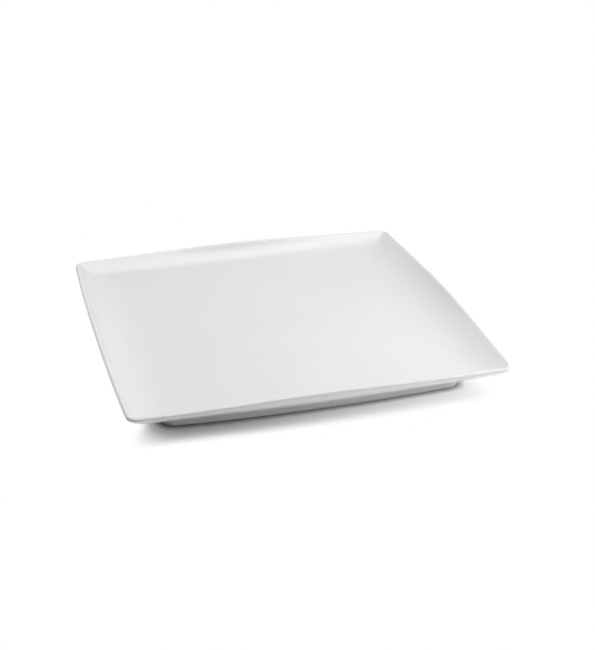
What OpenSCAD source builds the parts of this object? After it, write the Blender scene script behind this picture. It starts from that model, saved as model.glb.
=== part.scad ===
// Square porcelain plate with raised, bowed sides, a rounded lip and a foot ring.
// The clay is one closed loft through outlines that run from the hollow under the base, round the foot,
// up the flare, over the lip and down to the floor of the well. Both coats of glaze follow the same rings.
// Millimetres, +Z up, origin on the table at the middle of the foot ring, -Y is the front.

/* [Rim] */
// Width across the middles of two opposite sides, over the glaze
plate_w = 270; // [250:1:300]
// Height of the lip's top at the middle of a side, over the glaze
rim_h = 27; // [23:0.5:31]
// How much lower the lip lies at a corner
corner_drop = 2.5; // [0:0.25:4]
// How far the middle of a side bows out past its ends
rim_bow = 3; // [1:0.25:8]
// Corner radius of the rim, seen from above
rim_corner_r = 7.5; // [5:0.5:20]
// Thickness of the rounded lip, over the glaze
lip_t = 3; // [2.5:0.25:5]

/* [Flare] */
// Slope of the outside just under the lip, at the middle of a side, in degrees
flare_slope_mid = 74; // [60:1:80]
// Slope of the outside just under the lip, at a corner, in degrees
flare_slope_corner = 42; // [36:1:50]
// Share of the flare's length that its steep upper part takes
flare_share = 0.3; // [0.2:0.05:0.4]

/* [Well] */
// Width of the flat floor across the middles of two opposite sides
floor_w = 202; // [180:1:216]
// How far the middle of a side of the floor bows out past its ends
floor_bow = 5; // [1:0.25:8]
// Corner radius of the flat floor
floor_corner_r = 28; // [10:0.5:40]
// Slope of the inside just under the lip, at the middle of a side, in degrees
well_slope_mid = 60; // [50:1:66]
// Slope of the inside just under the lip, at a corner, in degrees
well_slope_corner = 42; // [32:1:46]

/* [Foot] */
// Width of the foot ring across the middles of two opposite sides
foot_w = 218; // [200:1:224]
// How far the middle of a side of the foot bows out past its ends
foot_bow = 4.5; // [1:0.25:8]
// Outer corner radius of the foot
foot_corner_r = 9; // [7:0.5:30]
// Height of the crease between the foot and the flare
foot_h = 6; // [4:0.25:7]
// Thickness of the foot ring
foot_t = 4.5; // [3.5:0.25:8]
// Rounding of the foot's lower edges
foot_edge_r = 1.25; // [0.75:0.25:2]
// Thickness of clay that grinding takes off the foot
grind_depth = 0.25; // [0.1:0.05:0.5]
// Rounding of the crease between the foot and the flare
crease_r = 1.5; // [0.5:0.25:2]
// Depth of the hollow under the base
recess_h = 7; // [5:0.25:8]
// Rounding between the hollow's ceiling and the inside of the foot
recess_corner_r = 1.25; // [0.5:0.25:2]
// Thickness of the clay between the hollow and the floor of the well
base_t = 5.75; // [4.5:0.25:7]

/* [Glaze] */
// Thickness of both coats of glaze
glaze_t = 0.3; // [0.15:0.05:0.5]
// Height above the table to which the foot's edge is bare
bare_h = 1.5; // [1.25:0.05:2]

/* [Hidden] */

// Spans that each part of the outline and of the section is divided into
side_steps = 10;
corner_steps = 7;
edge_steps = 3;
crease_steps = 2;
flare_steps = 7;
lip_steps = 8;
cove_steps = 8;

// How far a cut runs past what it cuts
overrun = 2;
// Share of its radius that a corner keeps at least when its outline is drawn in
kept_corner_share = 0.25;
// Share of the height or thickness beside it that a rounding may take
rounding_share = 0.4;
// Share of the flare's length that the rounding of its crease takes
crease_share = 0.06;

clay_lip_r = lip_t / 2 - glaze_t;
clay_floor_h = recess_h + base_t;
foot_edge = min(foot_edge_r, bare_h, rounding_share * foot_t);
recess_corner = min(recess_corner_r, rounding_share * (recess_h - bare_h));
crease = min(crease_r, rounding_share * (foot_h - bare_h));

// Outline: four bowed sides with rounded corners

// Radius of the arc that a side follows, from its half width and its bow
function side_r(half, bow) = (pow(half - bow, 2) + pow(bow, 2)) / (2 * bow);

// Distance from the centre, along both axes, of a corner's own centre
function corner_centre(reach, r, back) = (sqrt(2 * pow(reach - r, 2) - pow(back, 2)) - back) / 2;

function turned(p, a) = [p[0] * cos(a) - p[1] * sin(a), p[0] * sin(a) + p[1] * cos(a)];

// One quarter of an outline: the front side from left to right and the corner at its right end.
// Each entry holds a point and the outward direction there. inset draws the outline in evenly.
function quarter(half, bow, r, inset) =
    let (
        reach = side_r(half, bow),
        back = reach - half,
        side = reach - inset,
        round_r = max(r - inset, kept_corner_share * r),
        q = corner_centre(side, round_r, back),
        sweep = atan2(q, q + back)
    )
    concat(
        [for (i = [0 : side_steps])
            let (a = sweep * (2 * i / side_steps - 1), d = [sin(a), -cos(a)])
            [[0, back] + side * d, d]],
        [for (i = [1 : corner_steps - 1])
            let (a = sweep + (90 - 2 * sweep) * i / corner_steps, d = [sin(a), -cos(a)])
            [[q, -q] + round_r * d, d]]
    );

// A whole outline, run anticlockwise seen from above
function outline(half, bow, r, inset) =
    let (part = quarter(half, bow, r, inset))
    [for (k = [0 : 3]) for (e = part) [turned(e[0], 90 * k), turned(e[1], 90 * k)]];

function level(line, z) = [for (e = line) [e[0][0], e[0][1], z]];

function foot_line(inset) = outline(foot_w / 2, foot_bow, foot_corner_r, inset);

// Section: what each outline point needs from the foot to the floor

rim_mid_line = outline(plate_w / 2, rim_bow, rim_corner_r, lip_t / 2);
floor_line = outline(floor_w / 2, floor_bow, floor_corner_r, 0);
foot_outer_line = foot_line(0);
points = len(rim_mid_line);

// 0 at the middle of a side, rising to 1 at a corner
function cornerness(p) = pow(sin(2 * atan2(p[1], p[0])), 2);

function mix(a, b, t) = a + (b - a) * t;

function curve(p, s) = pow(1 - s, 2) * p[0] + 2 * s * (1 - s) * p[1] + pow(s, 2) * p[2];

function lean(d, a) = [d[0] * cos(a), d[1] * cos(a), sin(a)];

corner_shares = [for (e = rim_mid_line) cornerness(e[0])];
flare_slopes = [for (c = corner_shares) mix(flare_slope_mid, flare_slope_corner, c)];
well_slopes = [for (c = corner_shares) mix(well_slope_mid, well_slope_corner, c)];

// Centre of the round lip at each outline point
lip_centres = [for (j = [0 : points - 1])
    concat(rim_mid_line[j][0], rim_h - corner_drop * corner_shares[j] - lip_t / 2)];

// Point of the lip whose outward direction rises at angle a
function lip_point(j, a) = lip_centres[j] + clay_lip_r * lean(rim_mid_line[j][1], a);

// Curve of the flare from the crease at the foot to the lip
function flare_curve(j) =
    let (
        low = concat(foot_outer_line[j][0], foot_h),
        high = lip_point(j, flare_slopes[j] - 90),
        steep = flare_share * norm(high - low)
    )
    [low, high - steep * lean(rim_mid_line[j][1], flare_slopes[j]), high];

// Curve of the rounding where the foot's wall turns into the flare
function crease_curve(j, flare) =
    [concat(foot_outer_line[j][0], foot_h - crease), flare[0], curve(flare, crease_share)];

// Curve of the cove from the floor of the well to the lip
function cove_curve(j) =
    let (
        high = lip_point(j, well_slopes[j] + 90),
        low = concat(floor_line[j][0], clay_floor_h),
        run = min((high[2] - clay_floor_h) / tan(well_slopes[j]), norm(high - low)),
        d = rim_mid_line[j][1]
    )
    [low, [high[0] - run * d[0], high[1] - run * d[1], clay_floor_h], high];

flares = [for (j = [0 : points - 1]) flare_curve(j)];
creases = [for (j = [0 : points - 1]) crease_curve(j, flares[j])];
coves = [for (j = [0 : points - 1]) cove_curve(j)];

// Rings of the clay's surface, in order from the hollow to the floor of the well

recess_rings = concat(
    [for (i = [0 : edge_steps])
        let (a = 90 * i / edge_steps)
        level(foot_line(foot_t + recess_corner * (1 - sin(a))),
            recess_h - recess_corner * (1 - cos(a)))],
    [level(foot_line(foot_t), bare_h)]
);

bearing_rings = concat(
    [for (i = [0 : edge_steps])
        let (a = 90 * i / edge_steps)
        level(foot_line(foot_t - foot_edge * (1 - cos(a))), foot_edge * (1 - sin(a)) - grind_depth)],
    [for (i = [0 : edge_steps])
        let (a = 90 * i / edge_steps)
        level(foot_line(foot_edge * (1 - sin(a))), foot_edge * (1 - cos(a)) - grind_depth)]
);

face_rings = concat(
    [level(foot_outer_line, bare_h)],
    [for (i = [0 : crease_steps - 1]) [for (c = creases) curve(c, i / crease_steps)]],
    [for (i = [0 : flare_steps - 1])
        [for (c = flares) curve(c, mix(crease_share, 1, i / flare_steps))]],
    [for (i = [0 : lip_steps])
        [for (j = [0 : points - 1])
            lip_point(j, mix(flare_slopes[j] - 90, well_slopes[j] + 90, i / lip_steps))]],
    [for (i = [1 : cove_steps]) [for (c = coves) curve(c, 1 - i / cove_steps)]]
);

// Coats and solids

function backwards(rings) = [for (i = [len(rings) - 1 : -1 : 0]) rings[i]];

// Outward direction of the surface at point j of ring i
function surface_direction(rings, i, j) =
    let (
        along = rings[i][(j + 1) % points] - rings[i][(j + points - 1) % points],
        across = rings[min(i + 1, len(rings) - 1)][j] - rings[max(i - 1, 0)][j],
        d = cross(along, across)
    )
    d / norm(d);

// The rings moved out by the glaze, straight up or down at the ring that bounds a flat middle
function coated(rings, flat_ring, flat_direction) =
    [for (i = [0 : len(rings) - 1])
        [for (j = [0 : points - 1])
            rings[i][j] + glaze_t * (i == flat_ring ? flat_direction : surface_direction(rings, i, j))]];

// Closed solid through a list of rings, with flat ends. Every wall facet is cut along its shorter diagonal,
// so two solids that share rings share their facets too.
module loft(rings) {
    last = len(rings) - 1;
    walls = [for (i = [0 : last - 1]) for (j = [0 : points - 1])
        let (
            k = (j + 1) % points,
            a = i * points + j,
            b = i * points + k,
            c = b + points,
            d = a + points,
            ac_shorter = norm(rings[i + 1][k] - rings[i][j]) < norm(rings[i + 1][j] - rings[i][k])
        )
        for (f = ac_shorter ? [[a, d, c], [a, c, b]] : [[a, d, b], [b, d, c]]) f];
    ends = [
        [for (j = [0 : points - 1]) j],
        [for (j = [points - 1 : -1 : 0]) last * points + j]
    ];
    polyhedron([for (r = rings) for (p = r) p], concat(walls, ends));
}

// Fired clay. The foot's bearing edge is ground flat on the table.
module porcelain_body() {
    color("linen")
    difference() {
        loft(concat(recess_rings, bearing_rings, face_rings));
        translate([-plate_w / 2, -plate_w / 2, -overrun])
            cube([plate_w, plate_w, overrun]);
    }
}

// Coat over the well, the lip, the flare and the outside of the foot
module face_glaze() {
    color("white")
    loft(concat(backwards(face_rings), coated(face_rings, len(face_rings) - 1, [0, 0, 1])));
}

// Coat in the hollow under the base, inside the foot
module underside_glaze() {
    color("whitesmoke")
    loft(concat(coated(recess_rings, 0, [0, 0, -1]), backwards(recess_rings)));
}

porcelain_body();
face_glaze();
underside_glaze();
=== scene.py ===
from math import cos, radians, sin
import bpy
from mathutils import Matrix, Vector


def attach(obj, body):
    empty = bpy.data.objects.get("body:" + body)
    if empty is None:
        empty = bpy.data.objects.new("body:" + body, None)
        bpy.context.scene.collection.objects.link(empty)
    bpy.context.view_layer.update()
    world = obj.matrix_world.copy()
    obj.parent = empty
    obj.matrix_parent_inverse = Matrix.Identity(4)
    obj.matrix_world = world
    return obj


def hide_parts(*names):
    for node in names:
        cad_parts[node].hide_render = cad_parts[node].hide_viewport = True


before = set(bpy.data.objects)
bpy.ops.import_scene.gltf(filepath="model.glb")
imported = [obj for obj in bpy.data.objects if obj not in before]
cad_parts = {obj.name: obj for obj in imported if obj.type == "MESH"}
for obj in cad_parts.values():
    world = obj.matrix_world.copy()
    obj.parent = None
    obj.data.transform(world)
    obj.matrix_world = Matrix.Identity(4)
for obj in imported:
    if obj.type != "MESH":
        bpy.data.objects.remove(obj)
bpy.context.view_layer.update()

# Porcelain body.
# One pressed and fired piece of white porcelain. It carries both coats of glaze, and only the edge of
# its foot ring, which is ground flat so that the plate stands still, is left bare.


def select_faces(piece, wanted):
    """Selects the faces of a piece in edit mode that the test picks, and no others."""
    bpy.ops.mesh.select_all(action="DESELECT")
    bpy.ops.object.mode_set(mode="OBJECT")
    for face in piece.data.polygons:
        face.select = wanted(face)
    bpy.ops.object.mode_set(mode="EDIT")


def skin_of(node, name):
    """A copy of a solid's surface, made one smooth skin: the triangles are joined to larger faces, the
    flats get rings of faces round their rim, and the sharp edges stay sharp when it is subdivided."""
    weld_gap, level, sharp_edge = 0.00001, 0.999999, radians(40)
    large_flat, ring_widths = 0.02, (0.004, 0.012)
    bpy.ops.object.select_all(action="DESELECT")
    piece = bpy.data.objects.new(name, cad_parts[node].data.copy())
    bpy.context.scene.collection.objects.link(piece)
    bpy.context.view_layer.objects.active = piece
    piece.select_set(True)
    piece.data.materials.clear()
    bpy.ops.object.mode_set(mode="EDIT")
    bpy.ops.mesh.select_mode(type="FACE")
    bpy.ops.mesh.select_all(action="SELECT")
    bpy.ops.mesh.remove_doubles(threshold=weld_gap)
    select_faces(piece, lambda face: abs(face.normal.z) > level)
    bpy.ops.mesh.dissolve_limited(angle_limit=radians(0.01))
    bpy.ops.mesh.select_all(action="INVERT")
    bpy.ops.mesh.tris_convert_to_quads(face_threshold=radians(60), shape_threshold=radians(80))
    bpy.ops.mesh.select_mode(type="EDGE")
    bpy.ops.mesh.select_all(action="DESELECT")
    bpy.ops.mesh.edges_select_sharp(sharpness=sharp_edge)
    bpy.ops.transform.edge_crease(value=1)
    bpy.ops.mesh.select_mode(type="FACE")
    select_faces(piece, lambda face: face.area > large_flat)
    for width in ring_widths:
        bpy.ops.mesh.inset(thickness=width)
    bpy.ops.object.mode_set(mode="OBJECT")
    smooth = piece.modifiers.new("smooth", "SUBSURF")
    smooth.levels = smooth.render_levels = 2
    bpy.ops.object.modifier_apply(modifier=smooth.name)
    bpy.ops.object.shade_smooth_by_angle(angle=sharp_edge)
    return piece


def linear(hex_colour):
    """The linear colour of an sRGB hex value."""
    parts = [int(hex_colour[i:i + 2], 16) / 255 for i in (1, 3, 5)]
    return [c / 12.92 if c <= 0.04045 else ((c + 0.055) / 1.055) ** 2.4 for c in parts] + [1]


def add(tree, kind, inputs, **settings):
    """Adds a node. inputs gives each socket a value or another node's output, settings its options."""
    made = tree.nodes.new(kind)
    for option, value in settings.items():
        setattr(made, option, value)
    for socket, value in inputs.items():
        if isinstance(value, bpy.types.NodeSocket):
            tree.links.new(value, made.inputs[socket])
        else:
            made.inputs[socket].default_value = value
    return made


body = skin_of("porcelain_body", "porcelain_body_skin")

# Bare fired porcelain, ground flat on a wet belt: matt, a little warmer and greyer than the glaze, with
# clouds some 6 mm wide where the clay took the fire unevenly, and fine grinding lines in one direction.
# Such lines are about 0.2 mm apart; they are drawn 1 mm apart and 25 mm long, so that they show.
cloud_width, line_length, line_gap = 0.006, 0.025, 0.001
bare = bpy.data.materials.new("ground_bare_porcelain")
bare.use_nodes = True
tree = bare.node_tree
shader = tree.nodes["Principled BSDF"]
place = add(tree, "ShaderNodeTexCoord", {})
cloud = add(tree, "ShaderNodeTexNoise", {"Vector": place.outputs["Object"], "Scale": 1 / cloud_width,
                                         "Detail": 4})
belt = add(tree, "ShaderNodeMapping", {"Vector": place.outputs["Object"],
                                       "Scale": (1 / line_length, 1 / line_gap, 1 / line_gap)})
lines = add(tree, "ShaderNodeTexNoise", {"Vector": belt.outputs["Vector"], "Scale": 1, "Detail": 3})
worn = add(tree, "ShaderNodeMath", {0: cloud.outputs["Fac"], 1: lines.outputs["Fac"]}, operation="MULTIPLY")
clay = add(tree, "ShaderNodeValToRGB", {"Fac": worn.outputs["Value"]})
clay.color_ramp.elements[0].position = 0.1
clay.color_ramp.elements[0].color = linear("#D6D5D2")
clay.color_ramp.elements[1].position = 0.4
clay.color_ramp.elements[1].color = linear("#E7E6E3")
tree.links.new(clay.outputs["Color"], shader.inputs["Base Color"])
grain = add(tree, "ShaderNodeMapRange", {"Value": lines.outputs["Fac"], "To Min": 0.82, "To Max": 0.68})
tree.links.new(grain.outputs["Result"], shader.inputs["Roughness"])
groove = add(tree, "ShaderNodeBump", {"Height": lines.outputs["Fac"], "Strength": 0.4, "Distance": 0.0001})
tree.links.new(groove.outputs["Normal"], shader.inputs["Normal"])
shader.inputs["IOR"].default_value = 1.5
body.data.materials.append(bare)
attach(body, "root")
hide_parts("porcelain_body")

# Face glaze.
# The coat of clear-white glaze over the well, the lip, the flare and the outside of the foot. It is
# sprayed on before the last firing, in which it melts to one smooth glassy skin.
face = skin_of("face_glaze", "face_glaze_skin")


def glazed_porcelain(name, deep, pale):
    """White glazed porcelain: a clear glassy skin, sprayed on and melted, over a dense white body. The
    colour is a shade paler towards the lip and a shade deeper lower in the well, and varies in soft patches
    some 50 mm wide. The skin stays slightly wavy, with waves some 11 mm long and a few hundredths of a
    millimetre high, so that the reflections of the lamps waver and are soft."""
    patch_width, wave_length = 0.05, 0.011
    plate_floor, lip_top = 0.013, 0.027
    glaze = bpy.data.materials.new(name)
    glaze.use_nodes = True
    tree = glaze.node_tree
    shader = tree.nodes["Principled BSDF"]
    place = add(tree, "ShaderNodeTexCoord", {})
    flow = add(tree, "ShaderNodeTexNoise", {"Vector": place.outputs["Object"], "Scale": 1 / patch_width,
                                            "Detail": 2})
    height = add(tree, "ShaderNodeSeparateXYZ", {"Vector": place.outputs["Object"]})
    # The colour grows a shade paler from the well's floor up to the lip.
    paler_upward = add(tree, "ShaderNodeMapRange", {"Value": height.outputs["Z"], "From Min": plate_floor,
                                               "From Max": lip_top, "To Max": 0.5})
    paleness = add(tree, "ShaderNodeMath", {0: flow.outputs["Fac"], 1: paler_upward.outputs["Result"]},
               operation="ADD")
    tone = add(tree, "ShaderNodeValToRGB", {"Fac": paleness.outputs["Value"]})
    tone.color_ramp.elements[0].position = 0.3
    tone.color_ramp.elements[0].color = linear(deep)
    tone.color_ramp.elements[1].color = linear(pale)
    tree.links.new(tone.outputs["Color"], shader.inputs["Base Color"])
    # The roughness stays below 0.27: a range that crosses it draws the outlines of patches.
    gloss = add(tree, "ShaderNodeMapRange", {"Value": flow.outputs["Fac"], "To Min": 0.2, "To Max": 0.26})
    tree.links.new(gloss.outputs["Result"], shader.inputs["Roughness"])
    wave = add(tree, "ShaderNodeTexNoise", {"Vector": place.outputs["Object"], "Scale": 1 / wave_length,
                                            "Detail": 1})
    ripple = add(tree, "ShaderNodeBump", {"Height": wave.outputs["Fac"], "Strength": 0.2, "Distance": 0.0003})
    tree.links.new(ripple.outputs["Normal"], shader.inputs["Normal"])
    shader.inputs["IOR"].default_value = 1.5
    return glaze


face.data.materials.append(glazed_porcelain("glazed_porcelain_face", "#E9E9E9", "#EDEDEC"))
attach(face, "root")
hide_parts("face_glaze")

# Underside glaze.
# The second coat of the same glaze, in the hollow under the base. The bare, ground edge of the foot ring
# parts it from the coat on the face all the way round.
under = skin_of("underside_glaze", "underside_glaze_skin")
under.data.materials.append(glazed_porcelain("glazed_porcelain_under", "#E6E6E5", "#EBEBEA"))
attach(under, "root")
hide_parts("underside_glaze")

# Studio.
# A white sweep under the plate, soft lamps round it and the camera of the photograph.
bpy.ops.object.select_all(action="DESELECT")
sweep_width = 8
bpy.ops.mesh.primitive_plane_add(size=sweep_width)
floor = bpy.context.object
floor.name = "studio_floor"


def to_the_eye(tree):
    """1 for what the camera sees, straight or in a reflection, and 0 for the light that things bounce."""
    path = add(tree, "ShaderNodeLightPath", {})
    seen = add(tree, "ShaderNodeMath", {0: path.outputs["Is Camera Ray"], 1: path.outputs["Is Glossy Ray"]},
               operation="MAXIMUM")
    seen = add(tree, "ShaderNodeMath", {0: seen.outputs["Value"], 1: path.outputs["Is Transmission Ray"]},
               operation="MAXIMUM")
    return seen.outputs["Value"]


# White paper. To the lamps it is plain matt white. To the eye it burns out to white away from the plate.
# Near the plate it shows the lamps' real shadow, deepened by a painted shadow drawn from ambient
# occlusion: deepest where the foot ring meets it, widest in front and lighter towards the right.
painted_shadow_in_front, painted_shadow_behind, painted_contact_reach = 0.0175, 0.01, 0.008
sweep = bpy.data.materials.new("white_paper_sweep")
sweep.use_nodes = True
tree = sweep.node_tree
seen = to_the_eye(tree)
place = add(tree, "ShaderNodeTexCoord", {})
along = add(tree, "ShaderNodeSeparateXYZ", {"Vector": place.outputs["Object"]})
# Painted shadow: the reach of the occlusion, and so of the painted shadow, is longer in front of the plate
# than behind it.
painted_shadow_reach = add(tree, "ShaderNodeMapRange", {"Value": along.outputs["Y"], "From Min": -0.12, "From Max": -0.088,
                                         "To Min": painted_shadow_in_front, "To Max": painted_shadow_behind})
open_sky = add(tree, "ShaderNodeAmbientOcclusion", {"Distance": painted_shadow_reach.outputs["Result"]}, samples=16)
# Painted light: the painted shadow is lighter towards the right of the plate.
painted_shadow_lighter_right = add(tree, "ShaderNodeMapRange", {"Value": along.outputs["X"], "From Min": -0.06,
                                               "From Max": 0.1, "To Max": 0.48})
painted_shadow_fade = add(tree, "ShaderNodeMapRange", {"Value": open_sky.outputs["AO"], "From Min": 0.25, "From Max": 0.92,
                                        "To Min": painted_shadow_lighter_right.outputs["Result"]},
           interpolation_type="SMOOTHSTEP")
# Painted contact shade: the paper's colour and its white glow darken where the foot ring meets it.
touch = add(tree, "ShaderNodeAmbientOcclusion", {"Distance": painted_contact_reach}, samples=16)
painted_contact_shade = add(tree, "ShaderNodeMapRange", {"Value": touch.outputs["AO"], "From Min": 0.25, "From Max": 0.75,
                                           "To Min": 0.08})
lit_with_painted_shade = add(tree, "ShaderNodeBsdfDiffuse", {"Color": painted_contact_shade.outputs["Result"]})
glow_with_painted_shade = add(tree, "ShaderNodeEmission", {"Strength": painted_contact_shade.outputs["Result"]})
to_eye = add(tree, "ShaderNodeMixShader", {0: painted_shadow_fade.outputs["Result"], 1: lit_with_painted_shade.outputs["BSDF"],
                                           2: glow_with_painted_shade.outputs["Emission"]})
to_lamps = add(tree, "ShaderNodeBsdfDiffuse", {"Color": linear("#F3F3F3")})
paper = add(tree, "ShaderNodeMixShader", {0: seen, 1: to_lamps.outputs["BSDF"],
                                          2: to_eye.outputs["Shader"]})
tree.links.new(paper.outputs["Shader"], tree.nodes["Material Output"].inputs["Surface"])
floor.data.materials.append(sweep)


def softbox(name, place, watts, size, aim=(0, 0, 0), in_gloss=True):
    """A round softbox of a diameter in metres, aimed at the plate or a point of it. A fill lamp that stands
    low would burn out the plate's floor as a reflection, so it can be kept out of the gloss."""
    lamp = bpy.data.lights.new(name, "AREA")
    lamp.shape = "DISK"
    lamp.size = size
    lamp.energy = watts
    stand = bpy.data.objects.new(name, lamp)
    stand.location = place
    stand.rotation_euler = (Vector(aim) - Vector(place)).to_track_quat("-Z", "Y").to_euler()
    stand.visible_camera = False
    stand.visible_glossy = in_gloss
    bpy.context.scene.collection.objects.link(stand)


front_of_plate = (0.03, -0.1, 0.01)
softbox("overhead", (0, 0, 1), 6.85, 0.9)
softbox("back_left", (-0.579, 0.579, 0.574), 1.32, 0.8)
softbox("back", (0, 0.819, 0.574), 0.31, 0.8)
softbox("right_side", (0.4, -0.05, 0.16), 0.439, 0.3, front_of_plate, in_gloss=False)
softbox("near_right", (0.25, -0.2, 0.3), 0.33, 0.3, front_of_plate, in_gloss=False)
softbox("low_front_right", (0.45, -0.45, 0.15), 0.85, 0.2, front_of_plate, in_gloss=False)

# The air behind the sweep is white to the eye and gives no light of its own.
world = bpy.data.worlds.new("studio_air")
bpy.context.scene.world = world
world.use_nodes = True
air = world.node_tree.nodes["Background"]
air.inputs["Color"].default_value = linear("#FFFFFF")
world.node_tree.links.new(to_the_eye(world.node_tree), air.inputs["Strength"])

camera = bpy.data.objects.new("camera", bpy.data.cameras.new("camera"))
bpy.context.scene.collection.objects.link(camera)
turn, rise, away = radians(-14.79), radians(26.366), 0.979529
camera.location = (away * sin(turn) * cos(rise), -away * cos(turn) * cos(rise), away * sin(rise))
aim = Vector((0.022471, 0.021216, 0))
camera.rotation_euler = (aim - camera.location).to_track_quat("-Z", "Y").to_euler()
camera.data.sensor_fit = "VERTICAL"
camera.data.sensor_height = 36
camera.data.lens = 72.539
camera.data.clip_start = 0.01
bpy.context.scene.camera = camera
bpy.context.scene.view_settings.view_transform = "Standard"
